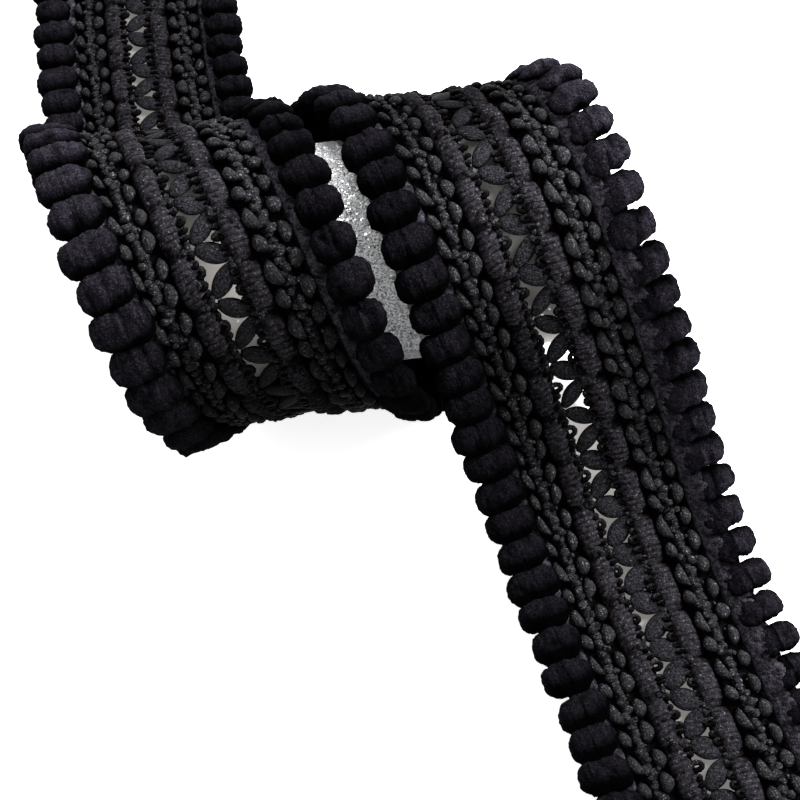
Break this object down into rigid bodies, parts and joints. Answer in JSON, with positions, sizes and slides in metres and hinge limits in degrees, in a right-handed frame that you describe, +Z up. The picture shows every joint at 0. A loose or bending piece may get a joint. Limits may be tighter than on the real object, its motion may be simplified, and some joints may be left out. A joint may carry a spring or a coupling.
{
  "type": "ribbon trim wound on a short tube",
  "caption": "Openwork ribbon trim with a zigzag ladder between two woven bands and velour lobes on both edges, wound once round a short tube with flat tails.",
  "frame": {"origin": "centre of the bounding box at its lowest face, which is the surface the trim lies on", "axes": "+X along the tube to the right, +Y from the front tail to the back tail, away from the viewer, +Z up"},
  "size_m": [0.184, 0.2806, 0.0849],
  "materials": {
    "yarn": "black rayon gimp and crochet stitches with a low sheen",
    "cord": "black flat cord with a low sheen",
    "velour": "black matt velour chenille",
    "tube": "silver glitter covering"
  },
  "bodies": {
    "root": {"band_left": "yarn", "band_right": "yarn", "ladder_zigzag": "cord", "edge_left": "velour", "edge_right": "velour", "core_tube": "tube"}
  },
  "joints": []
}
